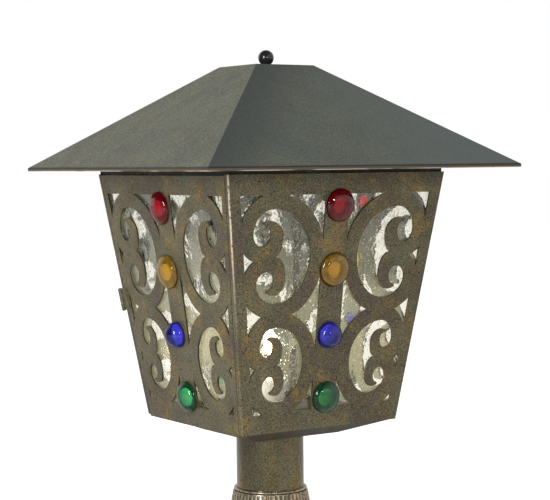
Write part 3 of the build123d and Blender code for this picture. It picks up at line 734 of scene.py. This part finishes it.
sealant_and_shade = mottled("jewel_sealant_and_rim_shade", 0.006, (0.035, 0.032, 0.024), (0.055, 0.050, 0.038), 0.5)
jewel_finishes = {}
for colour, tint in JEWEL_TINTS.items():
    glass = clear_glass(colour + "_jewel_glass", tint, 0.01, JEWEL_SHEEN)[0]
    heart = clear_glass(colour + "_jewel_heart", tint, 0.45, JEWEL_SHEEN)[0]
    grey = BACK_GREYS[colour]
    back = mottled(colour + "_jewel_back", 0.005, (grey * 0.6,) * 3, (grey * 1.3,) * 3, 0.6)
    jewel_finishes[colour] = (glass, heart, back, sealant_and_shade)
for side in QUARTER_TURNS:
    for colour in JEWEL_TINTS:
        name = side + "_jewel_" + colour
        solid = on_face(node_points(name), side)
        low, high = solid.min(axis=0), solid.max(axis=0)
        middle = np.array([(low[0] + high[0]) / 2, (low[1] + high[1]) / 2, low[2]])
        radius, dome = (high[0] - low[0]) / 2, high[2] - low[2]
        jewel = turned_piece(name + "_dome", turned(*dome_profile(radius, dome), middle, side))
        for finish in jewel_finishes[colour]:
            jewel.data.materials.append(finish)
        parts = dome_parts(jewel, side, middle, radius)
        jewel.data.polygons.foreach_set("material_index", parts)
        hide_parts(name)
        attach(jewel, body_of_side(side))
        bed_rim = radius - BED_MARGIN
        bed_head = BED_THICKNESS - BED_CLEARANCE
        bed_radii = [HOLE_RADIUS, bed_rim, bed_rim, HOLE_RADIUS, HOLE_RADIUS]
        bed_heights = [0, 0, bed_head, bed_head, 0]
        bed = turned_piece(name + "_bed", turned(bed_radii, bed_heights, middle, side))
        bed.data.materials.append(sealant_and_shade)
        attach(bed, body_of_side(side))

# ---------------------------------------------------------------- small metal inside
# Zinc-plated rod, nuts, bar, bracket and screws, spring clips for the glass, and brass for
# the nipple and the lamp's shell: bought-in parts with a bright but handled surface.
HANDLED_TONE = 0.72
HANDLED_DULLNESS = 0.25


def plated(name, colour, roughness, streak):
    """Plated metal whose gloss and tone vary softly; streak is the size of the variation."""
    finish, tree, shader, place = new_finish(name)
    soft = noise(tree, place, streak, 4.0, 0.6)
    darker = tuple(HANDLED_TONE * c for c in colour)
    tree.links.new(ramp(tree, soft, [(0.3, darker), (0.7, colour)]), shader.inputs["Base Color"])
    gloss = maths(tree, "ADD", product(tree, soft, HANDLED_DULLNESS), roughness)
    tree.links.new(gloss, shader.inputs["Roughness"])
    shader.inputs["Metallic"].default_value = 1.0
    return finish


zinc = plated("zinc_plate", (0.60, 0.60, 0.58), 0.22, 0.006)
brass = plated("lamp_brass", (0.72, 0.52, 0.24), 0.15, 0.008)
nickel = plated("nickel_plate", (0.66, 0.63, 0.57), 0.10, 0.004)
zinc_pieces = ["roof_cross_bar", "finial_rod", "finial_rod_nuts", "bracket_screws"]
zinc_pieces += ["lamp_bracket", "nipple_locknut"]
for name in zinc_pieces + [side + "_glass_clips" for side in QUARTER_TURNS]:
    wear(nodes[name], zinc)
for name in ("threaded_nipple", "holder_screw_shell", "bulb_base"):
    wear(nodes[name], brass)
wear(nodes["catch_magnets"], nickel)

# ---------------------------------------------------------------- lamp holder and lamp
# A glazed porcelain holder stands on the bracket and takes a clear screw lamp with a frosted
# capsule, which is lit in the photograph: it glows warm white and lights the body's inside.
GLOW = (1.0, 0.80, 0.54)
GLOW_STRENGTH = 60.0
FROSTED = (0.92, 0.90, 0.86)
CLEAR_BULB = (0.97, 0.97, 0.96)
porcelain = mottled("glazed_porcelain", 0.012, (0.74, 0.72, 0.66), (0.84, 0.82, 0.77), 0.12)
wear(nodes["lamp_holder"], porcelain)
lit_capsule, tree, shader, place = new_finish("lit_capsule")
shader.inputs["Base Color"].default_value = (*FROSTED, 1.0)
shader.inputs["Roughness"].default_value = 0.35
shader.inputs["Emission Color"].default_value = (*GLOW, 1.0)
shader.inputs["Emission Strength"].default_value = GLOW_STRENGTH
wear(nodes["bulb_capsule"], lit_capsule)
wear(nodes["bulb_glass"], clear_glass("bulb_glass", CLEAR_BULB, 0.01)[0])
nodes["bulb_glass"].visible_shadow = False

# ---------------------------------------------------------------- tube and collar
# The fitter tube is welded to the pan, and the cast collar sits round its foot. Both have the
# body's enamel on a lighter, glossier ground. The tube's clouds are drawn out upright, partly as
# painted reflection streaks, and the collar's bead and lands are rubbed bright and carry a
# painted highlight.
COLLAR_LAND = 0.0518
COLLAR_FLARE = 0.206


def land_wear_and_highlight(tree, place):
    """Painted highlight and wear on the collar's bead and on the lands between its flutes, which
    lie farthest out.

    A land's radius is that at the foot less the flare times the height.
    """
    x, y, z = coordinates(tree, place)
    squares = [product(tree, axis, axis) for axis in (x, y)]
    radius = maths(tree, "SQRT", maths(tree, "ADD", *squares))
    land = maths(tree, "SUBTRACT", COLLAR_LAND, product(tree, z, COLLAR_FLARE))
    proud = maths(tree, "SUBTRACT", radius, land)
    return product(tree, smooth_step(tree, proud, -0.0009, 0.0), 0.6)


TUBE_COAT = dict(BODY_COAT, dark=(0.105, 0.092, 0.050), light=(0.160, 0.138, 0.082), grain=1.5)
# Painted reflection: the upright clouds make dark bands down the tube, like those its gloss
# mirrors.
tube_enamel = antique_enamel("tube_enamel", TUBE_COAT, 0.17, run=0.25, metallic=0.65)
collar_enamel = antique_enamel("collar_enamel", TUBE_COAT, 0.28, land_wear_and_highlight, metallic=0.6)
wear(nodes["fitter_tube"], tube_enamel)
wear(nodes["post_collar"], collar_enamel)
wear(nodes["set_screws"], hinge_enamel)

# ---------------------------------------------------------------- studio
# A pale floor, a white world behind it and two soft lamps: the larger one stands to the
# left, so that the door side is the lighter one, as it is in the photograph. What mirrors
# sees a dim room towards the left, where the backdrop is open.
FLOOR_HALF = 6.0
FLOOR_HEIGHT = -0.0004
FLOOR_BASE = (0.90, 0.90, 0.90)
FLOOR_GLOW = 0.82
FLOOR_MIRRORED = 0.35
ROOM_AZIMUTH = math.radians(197.5)
ROOM_TOWARDS = (math.cos(ROOM_AZIMUTH), math.sin(ROOM_AZIMUTH))
ROOM_EDGE = math.cos(math.radians(67.5))
ROOM_SOFTNESS = 0.06
ROOM_DIMNESS = 0.10
BACKDROP_FILL = 0.55
CEILING_FILL = 0.12
CEILING_RISE = (0.92, 0.45)


def seen_straight(tree):
    """1 for the camera's rays and for those that have gone through glass, and the ray sockets."""
    rays = tree.nodes.new("ShaderNodeLightPath").outputs
    return maths(tree, "MAXIMUM", rays["Is Camera Ray"], rays["Is Transmission Ray"]), rays


def white_backdrop(tree, direction):
    """1 towards the backdrop, which goes round three sides, and ROOM_DIMNESS towards the room.

    The step is on the cosine of the level angle between the direction and the room's middle.
    """
    flat = coordinates(tree, direction)[:2]
    level = maths(tree, "ADD", *[product(tree, part, r) for part, r in zip(flat, ROOM_TOWARDS)])
    squares = [maths(tree, "POWER", part, 2.0) for part in flat]
    length = maths(tree, "SQRT", maths(tree, "ADD", *squares))
    cosine = maths(tree, "DIVIDE", level, length)
    dim = smooth_step(tree, cosine, ROOM_EDGE - ROOM_SOFTNESS, ROOM_EDGE + ROOM_SOFTNESS)
    return maths(tree, "SUBTRACT", 1.0, product(tree, dim, 1.0 - ROOM_DIMNESS))


def soft_lamp(name, place, aim, width, height, power):
    """Upright area lamp: its third axis points away from what it faces, and its first is level."""
    lamp = bpy.data.objects.new(name, bpy.data.lights.new(name, "AREA"))
    lamp.data.shape = "RECTANGLE"
    lamp.data.size = width
    lamp.data.size_y = height
    lamp.data.energy = power
    back = np.array(place, float) - np.array(aim, float)
    back /= np.linalg.norm(back)
    side = np.cross([0, 0, 1], back)
    side /= np.linalg.norm(side)
    pose = np.eye(4)
    pose[:3, :3] = np.column_stack([side, np.cross(back, side), back])
    pose[:3, 3] = place
    lamp.matrix_world = pose.T
    bpy.context.scene.collection.objects.link(lamp)


def lamp_place(turn, rise, distance):
    """Point round the body's middle, at an azimuth and an elevation in degrees."""
    turn, rise = math.radians(turn), math.radians(rise)
    flat = distance * math.cos(rise)
    height = BODY_MIDDLE[2] + distance * math.sin(rise)
    return (flat * math.cos(turn), flat * math.sin(turn), height)


floor_mesh = bpy.data.meshes.new("studio_floor")
floor_corners = [(-FLOOR_HALF, -FLOOR_HALF), (FLOOR_HALF, -FLOOR_HALF)]
floor_corners += [(FLOOR_HALF, FLOOR_HALF), (-FLOOR_HALF, FLOOR_HALF)]
floor_mesh.from_pydata([(*corner, FLOOR_HEIGHT) for corner in floor_corners], [], [(0, 1, 2, 3)])
floor = bpy.data.objects.new("studio_floor", floor_mesh)
bpy.context.scene.collection.objects.link(floor)
floor_finish, tree, shader, place = new_finish("studio_floor")
shader.inputs["Base Color"].default_value = (*FLOOR_BASE, 1.0)
shader.inputs["Roughness"].default_value = 0.9
shader.inputs["Specular IOR Level"].default_value = 0.0
shader.inputs["Emission Color"].default_value = (1.0, 1.0, 1.0, 1.0)
plain, rays = seen_straight(tree)
mirrored = product(tree, rays["Is Glossy Ray"], white_backdrop(tree, place), FLOOR_MIRRORED)
glow = product(tree, maths(tree, "MAXIMUM", plain, mirrored), FLOOR_GLOW)
tree.links.new(glow, shader.inputs["Emission Strength"])
floor_mesh.materials.append(floor_finish)

world = bpy.data.worlds.new("studio")
bpy.context.scene.world = world
world.use_nodes = True
tree = world.node_tree
background = tree.nodes["Background"]
background.inputs["Color"].default_value = (1.0, 1.0, 1.0, 1.0)
plain, rays = seen_straight(tree)
aim = tree.nodes.new("ShaderNodeTexCoord").outputs["Generated"]
low_sky = smooth_step(tree, coordinates(tree, aim)[2], *CEILING_RISE)
sky = maths(tree, "ADD", product(tree, low_sky, BACKDROP_FILL - CEILING_FILL), CEILING_FILL)
mirrored = product(tree, sky, product(tree, white_backdrop(tree, aim), 1.0 / BACKDROP_FILL))
by_gloss = tree.nodes.new("ShaderNodeMix")
tree.links.new(rays["Is Glossy Ray"], by_gloss.inputs["Factor"])
tree.links.new(sky, by_gloss.inputs[2])
tree.links.new(mirrored, by_gloss.inputs[3])
strength = maths(tree, "MAXIMUM", by_gloss.outputs[0], plain)
tree.links.new(strength, background.inputs["Strength"])

BODY_MIDDLE = (0, 0, 0.30)
soft_lamp("left_softbox", lamp_place(204, 16, 2.4), BODY_MIDDLE, 0.34, 1.1, 40.0)
soft_lamp("front_softbox", lamp_place(254, 14, 2.2), BODY_MIDDLE, 0.20, 0.28, 9.0)
